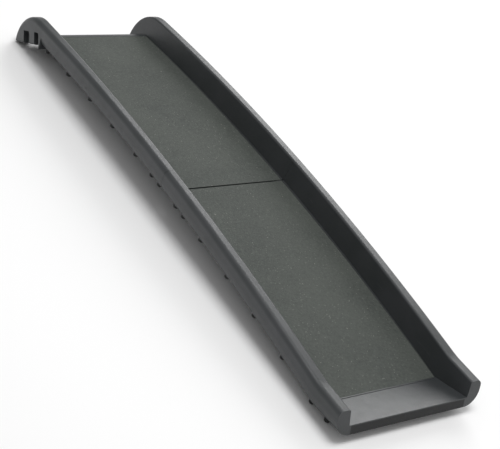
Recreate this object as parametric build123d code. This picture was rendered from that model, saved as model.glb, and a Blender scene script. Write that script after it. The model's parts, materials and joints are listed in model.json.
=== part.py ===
import os
from math import asin, atan2, cos, degrees, radians, sin, sqrt, tan

from build123d import *

os.makedirs("parts", exist_ok=True)

# A folding dog ramp, unfolded, millimetres, +Z up. X runs across the ramp and Y along it, with the
# low end at -Y and the sill end at +Y. It is drawn in the deck frame, where the hinge is at Y = 0
# and the deck's top at the hinge is Z = 0, and is turned at the end so that it rests on the floor.

# Overall
ramp_width = 400.0
camber_radius = 6950.0      # both halves bow upwards together along one long arc
rail_rise = 60.0            # rim of the side rail above the deck
rail_root = 34.0            # thickness of the side rail where it meets the deck at the hinge
rail_draft = 7.0            # degrees that the rail's inner face leans outwards
rail_under = 5.0            # underside of the rail below the deck's top
corner_radius = 38.0        # big round along the rail's outer bottom edge
rim_outer_radius = 12.0
rim_inner_radius = 5.0

# Walls
skin = 3.2                  # wall of the hollow side rail
rib_width = 2.5
rib_reach = 14.0            # depth of the ribs below the deck's top
rib_pitch = 61.0            # from one cross rib to the next
rib_lines = 5               # ribs along the ramp in each half
rib_end_gap = 4.0
rib_side = 12.0             # from where the rail's underside rounds off to the ribs' ends

# Treads
tread_margin = 5.0          # from the foot of the rail to the tread's edge
tread_thick = 1.5
tread_side_gap = 0.8
tread_end_gap = 0.4
tread_set = 0.3             # how far the tread lies below the lip and the nose

# Lower half
tread_end_low = 664.0       # along the deck from the hinge to the lip's fold line
lip_length = 97.0
lip_angle = 17.0            # degrees, measured in the deck frame
keel_lead = 16.0            # from where the underside begins to turn up to the fold line
keel_radius = 180.0
keel_angle = 7.3
rim_turn_lead = 14.0        # from where the rim begins to turn up to the fold line
rim_turn_radius = 150.0
rim_end_angle = 2.6
lip_wall = 4.0
bead_back = 1.0             # from the fold line to the low bead across the lip
bead_width = 5.0
bead_height = 1.2
sink = 0.5                  # how far the bead reaches into the lip
bead_side = 12.0            # from the rail to the bead's end
lip_ribs = 4

# Upper half
tread_end_high = 701.0      # along the deck from the hinge to the start of the nose
nose_radius = 48.0          # deck curling over and down
arch_lead = 25.0            # from where the rim begins to arch down to the start of the nose
arch_radius = 101.0
nose_block_lead = 56.0      # from the square shoulder, where the rail's big round ends, likewise
nose_base_lead = 33.0       # from where the flat base starts, likewise
nose_base_angle = 28.0
nose_edge_radius = 6.0
nose_wall = 5.0
nose_flange = 72.0          # from the tip to the inner end of the solid foot that carries the pad
side_pocket_depth = 13.0
side_pocket_rise = 33.0
side_pocket_round = 7.0
side_pockets = ((-20.0, 3.0), (30.0, 61.0))      # along the base from where it starts

# Middle joint
rail_gap = 0.6              # between the ends of the rails
deck_gap = 4.5              # open slot across the deck
pin_radius = 4.0
pin_play = 0.05             # running clearance of the pin in its bush
pin_seat_play = 0.02
bush_wall = 2.0
bush_flange = 1.0
bush_flange_rim = 1.6
barrel_radius = 8.5
barrel_side_play = 0.3
barrel_low = 14.0           # width of each of the lower half's two barrels
barrel_high = 18.0
barrel_inset = 44.0         # from the ramp's side to the outer end of the outermost barrel
barrel_arm = 30.0           # reach of each barrel's arm along the ramp
barrel_arm_drop = 2.0
barrel_clear = 1.2
fold_gap = 1.0              # from the knobs' ends to the plane through the hinge's axis
pin_head_radius = 6.5
pin_head = 2.0
clip_radius = 7.0
clip_thick = 1.6
clip_gap = 0.1
clip_margin = 1.5           # pin left beyond the clip
pin_chamfer = 0.6
groove_depth = 0.6

# Rubber knobs
knob_radius = 7.0
knob_reach = 18.5           # depth of the knob's end below the deck's top
knob_end_radius = 3.8
knob_lift = 2.0             # how far the knob's rim runs up round the rail's curved underside
knob_stem_radius = 3.0
knob_stem = 2.6
knob_edge = 32.0            # from the ramp's side to each row
knob_hinge_places = (40.5, 78.0)
knob_first = 160.5
knob_pitch = 122.0
knob_count = 5
lip_knob_back = 62.0        # from the lip's front to the last knob, along its underside

# Rubber strip and pad
strip_thick = 3.0
strip_drop = 2.5            # from the lip's top edge to the strip
strip_side = 6.0            # from the rail to the strip's end
pad_thick = 3.0
pad_proud = 1.5
pad_width = 34.0
pad_inset = 34.5            # from the tip to the pad
pad_side = 24.0             # from the ramp's side to the pad's end
cap_depth = 5.0

keel_start = tread_end_low - keel_lead
rim_turn_start = tread_end_low - rim_turn_lead
arch_start = tread_end_high - arch_lead
nose_block_start = tread_end_high - nose_block_lead
nose_base_start = tread_end_high - nose_base_lead
half_width = ramp_width / 2
inner_half = half_width - rail_root
hinge_height = -(knob_reach + fold_gap)
lean = tan(radians(rail_draft))
recess = tread_thick + tread_set
plate_middle = -(recess + rail_under) / 2     # height of the middle of the deck plate
underspan = half_width - corner_radius - rib_side   # half the ribs' width
over = 60.0                 # how far cutting shapes run past what they cut
strip_half = inner_half - strip_side
tread_half = inner_half - tread_margin
knob_side = half_width - knob_edge
barrel_edge = half_width - barrel_inset


def on_deck(along, height):
    """A point of the deck's arc: Y and Z at a distance from the hinge and a height above the deck."""
    turn = along / camber_radius
    reach = camber_radius + height
    return (reach * sin(turn), reach * cos(turn) - camber_radius)


def deck_arc(start, end, height):
    return ThreePointArc(*(on_deck(s, height) for s in (start, (start + end) / 2, end)))


def turned(point, angle, length):
    """The point a length away from another, at an angle in degrees from +Y towards +Z."""
    return (point[0] + length * cos(radians(angle)), point[1] + length * sin(radians(angle)))


def round_arc(centre, radius, start, end):
    """An arc between two angles in degrees."""
    return ThreePointArc(*(turned(centre, a, radius) for a in (start, (start + end) / 2, end)))


def meeting(point, angle, other, other_angle):
    """Where two lines meet."""
    dy, dz = cos(radians(angle)), sin(radians(angle))
    ey, ez = cos(radians(other_angle)), sin(radians(other_angle))
    run = ((other[0] - point[0]) * ez - (other[1] - point[1]) * ey) / (dy * ez - dz * ey)
    return (point[0] + run * dy, point[1] + run * dz)


def across(outline, start, end):
    """A side outline made solid from one X to another."""
    return extrude(Plane.YZ.offset(start) * make_face(outline), amount=end - start)


def closed(curve, *points):
    """Close a curve with straight lines through more points."""
    return curve + Polyline(curve @ 1, *points, curve @ 0)


def both_sides(solid):
    return solid + mirror(solid, Plane.YZ)


def box_between(low, high):
    size = [b - a for a, b in zip(low, high)]
    centre = [(a + b) / 2 for a, b in zip(low, high)]
    return Pos(*centre) * Box(*size)


def deck_place(along, height, side=0.0):
    """A place on the deck's arc, turned so that its own Z is square to the deck."""
    y, z = on_deck(along, height)
    return Pos(side, y, z) * Rot(-degrees(along / camber_radius), 0, 0)


# The lip at the low end, in the deck frame
lip_fold = on_deck(-tread_end_low, 0)
lip_front = turned(lip_fold, 180 - lip_angle, lip_length)
end_face_angle = 270 - lip_angle          # down along the front face
keel_centre = on_deck(-keel_start, keel_radius - rail_under)
keel_slope = degrees(keel_start / camber_radius)
keel_end = turned(keel_centre, 270 - keel_angle, keel_radius)
lip_toe = meeting(keel_end, 180 - keel_angle, lip_front, end_face_angle)
rim_centre = on_deck(-rim_turn_start, rail_rise + rim_turn_radius)
rim_slope = degrees(rim_turn_start / camber_radius)
rim_end = turned(rim_centre, 270 - rim_end_angle, rim_turn_radius)
rim_front = meeting(rim_end, 180 - rim_end_angle, lip_front, end_face_angle)

# The nose at the sill end, in the deck frame
arch_centre = on_deck(arch_start, rail_rise - arch_radius)
arch_slope = degrees(arch_start / camber_radius)
nose_centre = on_deck(tread_end_high, -nose_radius)
nose_slope = degrees(tread_end_high / camber_radius)
base_start = on_deck(nose_base_start, -rail_under)


def arch_tip():
    """Where the nose's flat base meets the rim's arch."""
    dy, dz = cos(radians(-nose_base_angle)), sin(radians(-nose_base_angle))
    fy, fz = base_start[0] - arch_centre[0], base_start[1] - arch_centre[1]
    along = fy * dy + fz * dz
    run = -along + sqrt(along * along - (fy * fy + fz * fz - arch_radius * arch_radius))
    return turned(base_start, -nose_base_angle, run), run


tip, base_length = arch_tip()


def inner_space(floor_curve, near, far):
    """The open space above a deck line and between the leaning inner faces of the rails."""
    top = rail_rise + over
    above = across(closed(floor_curve, (far, top), (near, top)), -half_width, half_width)
    low = -3 * nose_radius
    section = Polyline((inner_half + lean * low, low), (inner_half + lean * top, top),
                       (-inner_half - lean * top, top), (-inner_half - lean * low, low), close=True)
    return above & along_y(section)


def along_y(section):
    """An X and Z section made solid over more than the whole length."""
    reach = 2 * (tread_end_low + tread_end_high)
    return extrude(Plane.XZ.offset(-reach / 2) * make_face(section), amount=reach)


def arc_strip(start, end, low, high):
    """A curved strip of the side view, between two heights above the deck."""
    under = deck_arc(start, end, low)
    top = deck_arc(end, start, high)
    return under + Line(under @ 1, top @ 0) + top + Line(top @ 1, under @ 0)


def edge_height(edge):
    """Height of an edge's middle above the deck's arc."""
    middle = edge.position_at(0.5)
    turn = asin(max(-1.0, min(1.0, middle.Y / camber_radius)))
    return middle.Z - on_deck(turn * camber_radius, 0)[1]


def side_edges(block, half, low, high):
    """The edges that run along a block's vertical sides, between two heights above the deck."""
    return [e for e in block.edges()
            if abs(abs(e.position_at(0.5).X) - half) < 0.01 and abs(e.tangent_at(0.5).X) < 0.01
            and abs(e.tangent_at(0.5).Y) > 0.3 and low < edge_height(e) < high]


def round_sides(block, half, trim=0.0):
    """The big round along the underside and the smaller one along the outer side of the rim."""
    block = fillet(side_edges(block, half, -over, rail_rise / 2), corner_radius - trim)
    return fillet(side_edges(block, half, rail_rise / 2, over * 2), rim_outer_radius - trim)


def rail_hollow(start, end):
    """The hollow inside both rails of one half, a wall's thickness inside their outer shape."""
    half = half_width - skin
    block = across(arc_strip(start, end, skin - rail_under, rail_rise - skin), -half, half)
    block = round_sides(block, half, skin)
    edge = inner_half + skin * sqrt(1 + lean * lean)
    low, top = -2 * over, rail_rise + over
    beside = Polyline((edge + lean * low, low), (edge + lean * top, top), (half_width + over, top),
                      (half_width + over, low), close=True)
    return block & both_sides(along_y(beside))


def inner_rims(block):
    """The edges where a rail's leaning inner face meets its rim."""
    def on_face(point):
        return abs(abs(point.X) - inner_half - lean * point.Z) < 0.01

    return [e for e in block.edges()
            if on_face(e @ 0) and on_face(e @ 1) and on_face(e @ 0.5) and abs(e.tangent_at(0.5).Z) < 0.9
            and (edge_height(e) > rail_rise / 2 or on_arch(e @ 0.5))]


def on_arch(point):
    away = sqrt((point.Y - arch_centre[0]) ** 2 + (point.Z - arch_centre[1]) ** 2)
    return point.Y > arch_centre[0] and abs(away - arch_radius) < 0.5


def tread_recess(start, end):
    half = tread_half + tread_side_gap
    return across(arc_strip(start, end, -recess, rail_rise), -half, half)


def lip_bead():
    """The low bead along the fold line, where the lip starts."""
    start = turned(lip_fold, 180 - lip_angle, bead_back)
    low = turned(start, 270 - lip_angle, sink)
    top = turned(start, 90 - lip_angle, bead_height)
    outline = Polyline(low, turned(top, 180 - lip_angle, bead_height),
                       turned(top, 180 - lip_angle, bead_width - bead_height),
                       turned(low, 180 - lip_angle, bead_width), close=True)
    return across(outline, bead_side - inner_half, inner_half - bead_side)


def ribs(sign, start, end):
    """The grid of ribs below one half's deck plate."""
    low, high = -rib_reach, plate_middle
    pitch = 2 * underspan / (rib_lines + 1)
    pieces = []
    for n in range(rib_lines):
        x = (n + 1) * pitch - underspan
        strip = arc_strip(sign * start, sign * end, low, high)
        pieces.append(across(strip, x - rib_width / 2, x + rib_width / 2))
    count = int((end - start - rib_width) // rib_pitch)
    step = (end - start - rib_width) / count
    for n in range(count + 1):
        s = start + rib_width / 2 + n * step
        pieces.append(deck_place(sign * s, (low + high) / 2) * Box(2 * underspan, rib_width, high - low))
    return pieces


def barrel_spans():
    """X spans on the right: the lower half's outer and inner barrels, then the upper half's."""
    gap = bush_flange + barrel_side_play
    outer = (barrel_edge - barrel_low, barrel_edge)
    middle = (outer[0] - gap - barrel_high, outer[0] - gap)
    inner = (middle[0] - gap - barrel_low, middle[0] - gap)
    return outer, inner, middle


def round_bar(radius, x_low, x_high):
    """A round bar along the hinge's axis."""
    return Pos((x_low + x_high) / 2, 0, hinge_height) * Rot(0, 90, 0) * Cylinder(radius, x_high - x_low)


def barrel(span, sign, bore):
    """A hinge barrel with its arm, on the half at this sign of Y, on both sides of the ramp."""
    top = hinge_height + 0.8 * barrel_radius
    arm = Polyline((0, hinge_height - 0.3 * barrel_radius), (sign * barrel_arm, barrel_arm_drop - rib_reach),
                   (sign * barrel_arm, plate_middle), (sign * deck_gap / 2, plate_middle),
                   (sign * deck_gap / 2, top), (0, top), close=True)
    body = round_bar(barrel_radius, *span) + across(arm, *span)
    return both_sides(body - round_bar(bore, span[0] - 1, span[1] + 1))


def hinge_room():
    """The room that the barrels, the bushes and the clip turn in."""
    outer, inner, _ = barrel_spans()
    start = inner[0] - clip_gap - clip_thick - clip_margin - barrel_clear
    return both_sides(round_bar(barrel_radius + barrel_clear, start, outer[1] + pin_head + barrel_clear))


def knob_seat():
    """Height of the rounded underside where the knobs sit."""
    away = max(knob_side - (half_width - corner_radius), 0.0)
    return corner_radius - rail_under - sqrt(corner_radius ** 2 - away ** 2)


def knob():
    """One rubber knob with its stem, seated at Z = 0."""
    length = knob_reach + knob_seat() + knob_lift
    head = Pos(0, 0, knob_lift - length / 2) * Cylinder(knob_radius, length)
    head = fillet(head.edges().filter_by(GeomType.CIRCLE).sort_by(Axis.Z)[0], knob_end_radius)
    return head + Pos(0, 0, knob_stem / 2) * Cylinder(knob_stem_radius, knob_stem)


def knob_places(sign, side):
    """Where the knobs of one rail stand."""
    along = list(knob_hinge_places) + [knob_first + n * knob_pitch for n in range(knob_count)]
    places = [deck_place(sign * s, knob_seat(), side * knob_side) for s in along]
    if sign < 0:
        y, z = turned(turned(lip_toe, -keel_angle, lip_knob_back), 90 - keel_angle,
                      knob_seat() + rail_under)
        places.append(Pos(side * knob_side, y, z) * Rot(-keel_angle, 0, 0))
    return places


def knob_row(sign, side, block):
    """The knobs of one rail as separate solids, each trimmed to the rounded skin it sits on."""
    return [(place * knob()) - block for place in knob_places(sign, side)]


def knob_sockets(sign):
    socket = Pos(0, 0, knob_stem / 2) * Cylinder(knob_stem_radius, knob_stem)
    return [place * socket for side in (-1, 1) for place in knob_places(sign, side)]


def build_lower_deck():
    under = deck_arc(-rail_gap / 2, -keel_start, -rail_under)
    keel = round_arc(keel_centre, keel_radius, 270 + keel_slope, 270 - keel_angle)
    turn = round_arc(rim_centre, rim_turn_radius, 270 - rim_end_angle, 270 + rim_slope)
    rim = deck_arc(-rim_turn_start, -rail_gap / 2, rail_rise)
    outline = under + keel + Polyline(keel @ 1, lip_toe, rim_front, turn @ 0) + turn + rim
    outline = outline + Line(rim @ 1, under @ 0)
    block = round_sides(across(outline, -half_width, half_width), half_width)
    floor = deck_arc(over, -tread_end_low, 0)
    floor = floor + Polyline(floor @ 1, turned(lip_front, 180 - lip_angle, over))
    block = block - inner_space(floor, over, lip_front[0] - over)
    block = fillet(inner_rims(block), rim_inner_radius)
    block = block - rail_hollow(over, -keel_start) - tread_recess(over, -tread_end_low)
    block = block - deck_slot(-1) - lip_pocket() - front_slab() + lip_bead()
    return with_underside(block, -1, keel_start - rib_end_gap)


def deck_slot(sign):
    """Sets the deck's edge back from the hinge, between the rails."""
    ends = sorted((-sign * over, sign * deck_gap / 2))
    return box_between((-inner_half, ends[0], -over), (inner_half, ends[1], over))


def lip_pocket():
    """The space under the lip, open below, with ribs left standing in it."""
    high = turned(lip_fold, -90 - lip_angle, lip_wall)
    outer = turned(turned(lip_front, -90 - lip_angle, lip_wall), -lip_angle, lip_wall + strip_thick)
    inner = meeting(high, 180 - lip_angle, turned(keel_end, -90, 0), 90)
    low = turned(outer, -90 - lip_angle, over)
    outline = Polyline(inner, outer, low, (inner[0], inner[1] - over), close=True)
    width = (2 * underspan - (lip_ribs + 1) * rib_width) / (lip_ribs + 1)
    cells = [across(outline, x, x + width)
             for x in (n * (width + rib_width) + rib_width / 2 - underspan for n in range(lip_ribs + 1))]
    return cells


def front_slab():
    """The rubber strip set into the lip's front face."""
    top = turned(lip_front, end_face_angle, strip_drop)
    outline = Polyline(top, lip_toe, turned(lip_toe, -lip_angle, strip_thick),
                       turned(top, -lip_angle, strip_thick), close=True)
    return across(outline, -strip_half, strip_half)


def with_underside(block, sign, end):
    """Add ribs and hinge barrels, and cut what the knobs and the other half's barrels need."""
    outer, inner, middle = barrel_spans()
    own = (outer, inner) if sign < 0 else (middle,)
    for rib in ribs(sign, deck_gap / 2, end):
        block = block + rib
    block = block - hinge_room()
    bore = pin_radius + (pin_seat_play if sign < 0 else pin_play + bush_wall)
    for span in own:
        block = block - both_sides(round_bar(bore, *span)) + barrel(span, sign, bore)
    for socket in knob_sockets(sign):
        block = block - socket
    return block


def build_upper_deck():
    rail = across(arc_strip(rail_gap / 2, nose_block_start, -rail_under, rail_rise), -half_width, half_width)
    rail = fillet(side_edges(rail, half_width, -over, rail_rise / 2), corner_radius)
    under = deck_arc(nose_block_start, nose_base_start, -rail_under)
    start_angle = 90 - arch_slope
    end_angle = degrees(atan2(tip[1] - arch_centre[1], tip[0] - arch_centre[0]))
    arch = round_arc(arch_centre, arch_radius, end_angle, start_angle)
    rim = deck_arc(arch_start, nose_block_start, rail_rise)
    outline = under + Line(under @ 1, arch @ 0) + arch + rim + Line(rim @ 1, under @ 0)
    nose = across(outline, -half_width, half_width)
    block = rail + nose
    rims = side_edges(block, half_width, rail_rise / 2, over * 2) + arch_edges(block)
    block = fillet(rims, rim_outer_radius)
    block = fillet(base_edges(block), nose_edge_radius) - nose_pocket()
    floor = deck_arc(-over, tread_end_high, 0)
    curl = round_arc(nose_centre, nose_radius, 90 - nose_slope, -20)
    floor = floor + curl + Line(curl @ 1, (tip[0] + over, (curl @ 1).Y))
    block = block - inner_space(floor, -over, tip[0] + over)
    block = fillet(inner_rims(block), rim_inner_radius)
    block = block - rail_hollow(-over, nose_block_start - skin) - tread_recess(-over, tread_end_high)
    block = block - deck_slot(1) - side_recesses() - pad_room()
    return with_underside(block, 1, nose_block_start + rib_end_gap)


def arch_edges(block):
    return [e for e in block.edges()
            if abs(abs(e.position_at(0.5).X) - half_width) < 0.01 and on_arch(e.position_at(0.5))]


def base_edges(block):
    """All edges of the nose's flat base except the one at its inner end."""
    def low(point):
        away = (point.Y - base_start[0], point.Z - base_start[1])
        square = away[0] * sin(radians(nose_base_angle)) + away[1] * cos(radians(nose_base_angle))
        return abs(square) < 0.01 and away[0] > -0.01

    return [e for e in block.edges()
            if low(e @ 0) and low(e @ 1) and low(e @ 0.5) and (e @ 0.5).Y > base_start[0] + 1]


def base_point(along, rise):
    """A point in the nose's side view, along its base and square to it."""
    return turned(turned(base_start, -nose_base_angle, along), 90 - nose_base_angle, rise)


def nose_pocket():
    """The space under the nose, open below, with ribs left standing in it."""
    roof = deck_arc(nose_base_start + nose_wall, tread_end_high, -nose_wall)
    curl = round_arc(nose_centre, nose_radius - nose_wall, 90 - nose_slope, 0)
    low = -3 * nose_radius
    outline = closed(roof + curl, ((curl @ 1).X, low), ((roof @ 0).X, low))
    foot = Polyline(base_point(base_length - nose_flange, -over), base_point(base_length, -over),
                    base_point(base_length, over), base_point(base_length - nose_flange, over), close=True)
    width = (2 * underspan - (lip_ribs + 1) * rib_width) / (lip_ribs + 1)
    cells = []
    for n in range(lip_ribs + 1):
        x = n * (width + rib_width) + rib_width / 2 - underspan
        cells.append(across(outline, x, x + width) - across(foot, x, x + width))
    return cells


def side_recesses():
    """Blind recesses in the nose's outer sides, open at its base."""
    cuts = []
    for start, end in side_pockets:
        outline = Polyline(base_point(start, -over), base_point(end, -over),
                           base_point(end, side_pocket_rise), base_point(start, side_pocket_rise), close=True)
        face = make_face(outline)
        face = fillet(face.vertices().sort_by(Axis.Z)[-1:], side_pocket_round)
        cuts.append(extrude(Plane.YZ.offset(half_width - side_pocket_depth) * face, amount=over))
    return both_sides(cuts[0] + cuts[1])


def pad_slab(low, high):
    """A slab along the nose's base, between two heights square to it."""
    end = base_length - pad_inset
    outline = Polyline(base_point(end - pad_width, low), base_point(end, low), base_point(end, high),
                       base_point(end - pad_width, high), close=True)
    return across(outline, pad_side - half_width, half_width - pad_side)


def pad_room():
    return pad_slab(-over, pad_thick - pad_proud)


def build_tread(sign, end):
    """The grippy sheet bonded into the deck's recess."""
    return across(arc_strip(sign * deck_gap / 2, sign * (end - tread_end_gap), -recess, -tread_set),
                  -tread_half, tread_half)


def build_caps(sign):
    """The two plugs that close the hollow rails at the hinge, left then right."""
    return rail_hollow(sign * rail_gap / 2, sign * (rail_gap / 2 + cap_depth)).solids().sort_by(Axis.X)


def build_pin():
    """The right-hand pin: a head outside the outer barrel and a groove for the clip inside."""
    outer, inner, _ = barrel_spans()
    groove = inner[0] - clip_gap
    end = groove - clip_thick - clip_margin
    shank = round_bar(pin_radius, end, outer[1])
    shank = chamfer(shank.edges().filter_by(GeomType.CIRCLE).sort_by(Axis.X)[0], pin_chamfer)
    head = round_bar(pin_head_radius, outer[1], outer[1] + pin_head)
    head = fillet(head.edges().filter_by(GeomType.CIRCLE).sort_by(Axis.X)[-1], pin_chamfer)
    room = round_bar(over, groove - clip_thick, groove) - round_bar(pin_radius - groove_depth, end, outer[1])
    return shank + head - room


def build_clip():
    """The open ring that snaps into the pin's groove."""
    groove = barrel_spans()[1][0] - clip_gap
    low, high = groove - clip_thick, groove
    ring = round_bar(clip_radius, low, high) - round_bar(pin_radius - groove_depth, low - 1, high + 1)
    mouth = 0.8 * pin_radius
    return ring - box_between((low - 1, -mouth, hinge_height - over), (high + 1, mouth, hinge_height))


def build_bushes():
    """The two flanged half-bushes of the right-hand hinge, one pressed in from each side."""
    low, high = barrel_spans()[2]
    middle = (low + high) / 2
    outer = pin_radius + pin_play + bush_wall
    bore = round_bar(pin_radius + pin_play, low - over, high + over)
    halves = [(low, middle, low - bush_flange, low), (middle, high, high, high + bush_flange)]
    return [round_bar(outer, a, b) + round_bar(outer + bush_flange_rim, c, d) - bore for a, b, c, d in halves]


def mirrored(shapes):
    return [mirror(shape, Plane.YZ) for shape in shapes]


def resting_turn():
    """How the ramp lies on the floor: its turn in degrees, and the floor's Z after that turn."""
    inner = base_point(0, nose_edge_radius)
    dy, dz = cos(radians(-nose_base_angle)), sin(radians(-nose_base_angle))
    fy, fz = inner[0] - arch_centre[0], inner[1] - arch_centre[1]
    along = fy * dy + fz * dz
    reach = arch_radius - nose_edge_radius
    tip_middle = turned(inner, -nose_base_angle, -along + sqrt(along ** 2 - fy ** 2 - fz ** 2 + reach ** 2))
    last = knob_first + (knob_count - 1) * knob_pitch
    knob_middle = on_deck(-last - (knob_radius - knob_end_radius), -knob_reach + knob_end_radius)
    gap = (tip_middle[0] - knob_middle[0], tip_middle[1] - knob_middle[1])
    distance = sqrt(gap[0] ** 2 + gap[1] ** 2)
    turn = asin((nose_edge_radius - knob_end_radius) / distance) - atan2(gap[1], gap[0])
    floor = knob_middle[0] * sin(turn) + knob_middle[1] * cos(turn) - knob_end_radius
    return degrees(turn), floor


def turned_y(point, turn):
    return point[0] * cos(radians(turn)) - point[1] * sin(radians(turn))


lower_deck = build_lower_deck()
upper_deck = build_upper_deck()
lower_caps, upper_caps = build_caps(-1), build_caps(1)
pin, clip, bushes = build_pin(), build_clip(), build_bushes()

pieces = {
    "lower_deck": [lower_deck],
    "upper_deck": [upper_deck],
    "lower_tread": [build_tread(-1, tread_end_low)],
    "upper_tread": [build_tread(1, tread_end_high)],
    "lower_end_cap_left": [lower_caps[0]],
    "lower_end_cap_right": [lower_caps[1]],
    "upper_end_cap_left": [upper_caps[0]],
    "upper_end_cap_right": [upper_caps[1]],
    "lower_knobs_left": knob_row(-1, -1, lower_deck),
    "lower_knobs_right": knob_row(-1, 1, lower_deck),
    "upper_knobs_left": knob_row(1, -1, upper_deck),
    "upper_knobs_right": knob_row(1, 1, upper_deck),
    "hinge_pin_left": mirrored([pin]),
    "hinge_pin_right": [pin],
    "hinge_clip_left": mirrored([clip]),
    "hinge_clip_right": [clip],
    "hinge_bush_left": mirrored(bushes),
    "hinge_bush_right": bushes,
    "ground_strip": [front_slab()],
    "sill_pad": [pad_slab(-pad_proud, pad_thick - pad_proud)],
}

turn, floor = resting_turn()
middle = (turned_y(arch_centre, turn) + arch_radius + turned_y(lip_toe, turn)) / 2
rest = Pos(0, -middle, -floor) * Rot(turn, 0, 0)
for name, solids in pieces.items():
    placed = [rest * solid for solid in solids]
    export_step(placed[0] if len(placed) == 1 else Compound(children=placed), f"parts/{name}.step")
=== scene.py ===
import json
from math import radians

import bmesh
import bpy
from mathutils import Euler, Matrix, Vector

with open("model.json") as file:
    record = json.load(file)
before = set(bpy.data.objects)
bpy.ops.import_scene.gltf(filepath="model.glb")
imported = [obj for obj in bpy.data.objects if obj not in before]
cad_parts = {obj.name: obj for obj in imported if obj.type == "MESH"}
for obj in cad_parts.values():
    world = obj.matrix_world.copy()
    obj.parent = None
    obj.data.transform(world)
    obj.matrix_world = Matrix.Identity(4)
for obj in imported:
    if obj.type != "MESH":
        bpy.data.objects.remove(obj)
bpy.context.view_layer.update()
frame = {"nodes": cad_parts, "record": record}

# The deck's own frame: the middle of the deck at the hinge, tilted as the ramp lies on the floor
deckTilt = radians(1.617)
hingeDrop = 0.0195          # hinge axis below the deck's top
turn = Matrix.Rotation(deckTilt, 3, "X")
hinge = Vector(frame["record"]["behaviour"]["joints"][0]["pos_m"])


def fromDeck(x, y, z):
    return hinge + turn @ Vector((x, y, z + hingeDrop))


# Camera, at the photograph's viewing angle, given in the deck's frame
focalLength, filmWidth = 97.55, 36.0
cameraPlace = (-1.8834, -1.9864, 1.7323)
cameraTurn = (54.351, -18.586, -32.351)      # degrees about X, Y and Z
nearestSeen, farthestSeen = 0.05, 60.0


def makeCamera():
    data = bpy.data.cameras.new("camera")
    data.lens, data.sensor_width = focalLength, filmWidth
    camera = bpy.data.objects.new("camera", data)
    bpy.context.scene.collection.objects.link(camera)
    aimed = turn @ Euler([radians(angle) for angle in cameraTurn]).to_matrix()
    camera.matrix_world = Matrix.Translation(fromDeck(*cameraPlace)) @ aimed.to_4x4()
    data.clip_start, data.clip_end = nearestSeen, farthestSeen
    bpy.context.scene.camera = camera


makeCamera()
print("camera placed")


# Materials, with the real depths of their reliefs in metres
pebbleDepth = 0.00016
grainWidth, grainDepth, grainGrit = 0.0016, 0.0005, 0.0003
poreDepth = 0.0001
brushedLines, brushedDepth = 900.0, 0.00003


def hexColour(text):
    # sRGB hex to linear
    parts = [int(text[n:n + 2], 16) / 255 for n in (0, 2, 4)]
    return [c / 12.92 if c <= 0.04045 else ((c + 0.055) / 1.055) ** 2.4 for c in parts] + [1.0]


def addNode(tree, kind, inputs=None, **settings):
    node = tree.nodes.new(kind)
    for name, value in settings.items():
        setattr(node, name, value)
    for name, value in (inputs or {}).items():
        if isinstance(value, bpy.types.NodeSocket):
            tree.links.new(value, node.inputs[name])
        else:
            node.inputs[name].default_value = value
    return node


def startMaterial(name):
    material = bpy.data.materials.new(name)
    material.use_nodes = True
    tree = material.node_tree
    tree.nodes.clear()
    shader = addNode(tree, "ShaderNodeBsdfPrincipled")
    out = addNode(tree, "ShaderNodeOutputMaterial")
    tree.links.new(shader.outputs["BSDF"], out.inputs["Surface"])
    coords = addNode(tree, "ShaderNodeTexCoord").outputs["Object"]
    return material, tree, shader, coords


def noise(tree, coords, size, detail=2.0, rough=0.5):
    # size is the real width of one blotch in metres
    return addNode(tree, "ShaderNodeTexNoise", {
        "Vector": coords, "Scale": 1 / size, "Detail": detail, "Roughness": rough}).outputs["Fac"]


def ramp(tree, value, low, high, dark, light):
    return addNode(tree, "ShaderNodeMapRange", {
        "Value": value, "From Min": low, "From Max": high,
        "To Min": dark, "To Max": light}).outputs["Result"]


def mixColour(tree, factor, first, second):
    node = addNode(tree, "ShaderNodeMix", data_type="RGBA")
    pairs = ((node.inputs["Factor"], factor), (node.inputs[6], first), (node.inputs[7], second))
    for socket, value in pairs:
        if isinstance(value, bpy.types.NodeSocket):
            tree.links.new(value, socket)
        else:
            socket.default_value = value
    return node.outputs[2]


def bump(tree, height, distance, strength=1.0, below=None):
    inputs = {"Height": height, "Distance": distance, "Strength": strength}
    if below is not None:
        inputs["Normal"] = below
    return addNode(tree, "ShaderNodeBump", inputs).outputs["Normal"]


def mouldedPlastic(name, base, worn, rough):
    # spark-eroded polyethylene: a fine pebble, faint flow blotches and sparse pale scuffs
    material, tree, shader, coords = startMaterial(name)
    pebble = noise(tree, coords, 0.0011, 3.0, 0.6)
    blotch = noise(tree, coords, 0.09, 3.0, 0.55)
    scuff = noise(tree, coords, 0.02, 6.0, 0.7)
    stretched = addNode(tree, "ShaderNodeMapping", {
        "Vector": coords, "Scale": (1.0, 0.12, 1.0)}).outputs["Vector"]
    wear = ramp(tree, noise(tree, stretched, 0.006, 4.0, 0.6), 0.66, 0.76, 0.0, 0.25)
    tone = mixColour(tree, ramp(tree, blotch, 0.35, 0.65, 0.0, 1.0), hexColour(base[0]), hexColour(base[1]))
    colour = mixColour(tree, wear, tone, hexColour(worn))
    grey = addNode(tree, "ShaderNodeMath", {0: ramp(tree, scuff, 0.3, 0.7, -0.05, 0.05), 1: rough},
                   operation="ADD").outputs["Value"]
    tree.links.new(colour, shader.inputs["Base Color"])
    tree.links.new(grey, shader.inputs["Roughness"])
    tree.links.new(bump(tree, pebble, pebbleDepth), shader.inputs["Normal"])
    shader.inputs["Specular IOR Level"].default_value = 0.45
    return material


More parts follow.
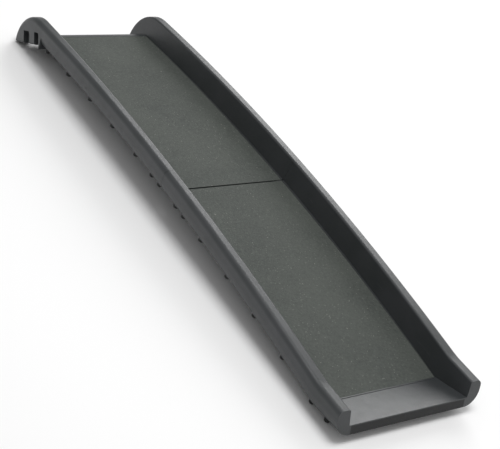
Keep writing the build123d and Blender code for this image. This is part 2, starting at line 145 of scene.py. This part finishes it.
def grittySheet(name):
    # high-grip tread: grains of about a millimetre in a rubber binder, with a few pale grains
    material, tree, shader, coords = startMaterial(name)
    grain = addNode(tree, "ShaderNodeTexVoronoi", {"Vector": coords, "Scale": 1 / grainWidth})
    fine = noise(tree, coords, 0.0009, 4.0, 0.65)
    clump = noise(tree, coords, 0.006, 3.0, 0.6)
    cloud = noise(tree, coords, 0.12, 2.0, 0.5)
    pale = ramp(tree, noise(tree, coords, 0.0034, 1.0, 0.4), 0.71, 0.78, 0.0, 0.55)
    tone = mixColour(tree, ramp(tree, clump, 0.3, 0.7, 0.0, 1.0), hexColour("3f4340"), hexColour("4f534f"))
    tone = mixColour(tree, ramp(tree, cloud, 0.35, 0.65, 0.0, 0.35), tone, hexColour("565a55"))
    colour = mixColour(tree, pale, tone, hexColour("a2a49b"))
    tree.links.new(colour, shader.inputs["Base Color"])
    shader.inputs["Roughness"].default_value = 0.78
    shader.inputs["Specular IOR Level"].default_value = 0.35
    lumps = bump(tree, ramp(tree, grain.outputs["Distance"], 0.0, 0.8, 1.0, 0.0), grainDepth)
    tree.links.new(bump(tree, fine, grainGrit, 0.8, lumps), shader.inputs["Normal"])
    return material


def softRubber(name, base, dusty):
    # matt rubber with a little dust in its pores
    material, tree, shader, coords = startMaterial(name)
    pores = noise(tree, coords, 0.0008, 2.0, 0.5)
    dust = noise(tree, coords, 0.012, 5.0, 0.7)
    colour = mixColour(tree, ramp(tree, dust, 0.45, 0.7, 0.0, 0.6), hexColour(base), hexColour(dusty))
    tree.links.new(colour, shader.inputs["Base Color"])
    tree.links.new(ramp(tree, dust, 0.3, 0.7, 0.6, 0.8), shader.inputs["Roughness"])
    tree.links.new(bump(tree, pores, poreDepth), shader.inputs["Normal"])
    return material


def platedSteel(name):
    material, tree, shader, coords = startMaterial(name)
    bloom = noise(tree, coords, 0.004, 4.0, 0.6)
    lines = addNode(tree, "ShaderNodeTexWave", {
        "Vector": coords, "Scale": brushedLines, "Distortion": 2.0, "Detail": 2.0},
        bands_direction="X").outputs["Fac"]
    colour = mixColour(tree, bloom, hexColour("b4b6b8"), hexColour("cfcfc9"))
    tree.links.new(colour, shader.inputs["Base Color"])
    shader.inputs["Metallic"].default_value = 1.0
    tree.links.new(ramp(tree, bloom, 0.3, 0.7, 0.28, 0.42), shader.inputs["Roughness"])
    tree.links.new(bump(tree, lines, brushedDepth), shader.inputs["Normal"])
    return material


finishes = {
    "moulding": mouldedPlastic("anthracite polyethylene", ("333637", "3a3c3e"), "5c5e5f", 0.4),
    "tread": grittySheet("high grip tread"),
    "cap": mouldedPlastic("black end cap plastic", ("242526", "2a2b2c"), "3c3d3e", 0.52),
    "rubber": softRubber("black knob rubber", "1c1d1e", "313130"),
    "pin_steel": platedSteel("zinc plated steel"),
    "bush_nylon": mouldedPlastic("natural nylon", ("bdb9a8", "c7c3b3"), "d6d3c6", 0.4),
}
slots = {part["node"]: part["material_slot"] for part in frame["record"]["subparts"]}
for node, piece in frame["nodes"].items():
    piece.data.materials.clear()
    piece.data.materials.append(finishes[slots[node]])
print("materials made")


# Floor and studio light
floorHalf = 12.0
skyStrength = 0.46
# name, place, aim, width, power
lamps = (
    ("key", (-0.2, -0.5, 3.6), (0, -0.3, 0), 2.0, 70),
    ("sheen", (2.9, 2.4, 2.1), (0, -0.4, 0), 2.8, 85),
)


def makeFloor():
    mesh = bpy.data.meshes.new("floor")
    shape = bmesh.new()
    bmesh.ops.create_grid(shape, x_segments=1, y_segments=1, size=floorHalf)
    shape.to_mesh(mesh)
    shape.free()
    floor = bpy.data.objects.new("floor", mesh)
    bpy.context.scene.collection.objects.link(floor)
    material, tree, shader, coords = startMaterial("pale studio floor")
    cloud = noise(tree, coords, 1.5, 2.0, 0.5)
    colour = mixColour(tree, cloud, hexColour("f4f4f4"), hexColour("f7f7f7"))
    tree.links.new(colour, shader.inputs["Base Color"])
    shader.inputs["Roughness"].default_value = 0.95
    mesh.materials.append(material)


def areaLight(name, place, aim, size, power):
    data = bpy.data.lights.new(name, "AREA")
    data.shape, data.size, data.energy = "DISK", size, power
    light = bpy.data.objects.new(name, data)
    bpy.context.scene.collection.objects.link(light)
    light.location = place
    light.rotation_mode = "QUATERNION"
    light.rotation_quaternion = (Vector(aim) - Vector(place)).to_track_quat("-Z", "Y")


makeFloor()
for lamp in lamps:
    areaLight(*lamp)
world = bpy.data.worlds.new("studio")
bpy.context.scene.world = world
world.use_nodes = True
world.node_tree.nodes["Background"].inputs["Color"].default_value = hexColour("ffffff")
world.node_tree.nodes["Background"].inputs["Strength"].default_value = skyStrength
bpy.context.scene.view_settings.view_transform = "Standard"
print("floor and lights made")
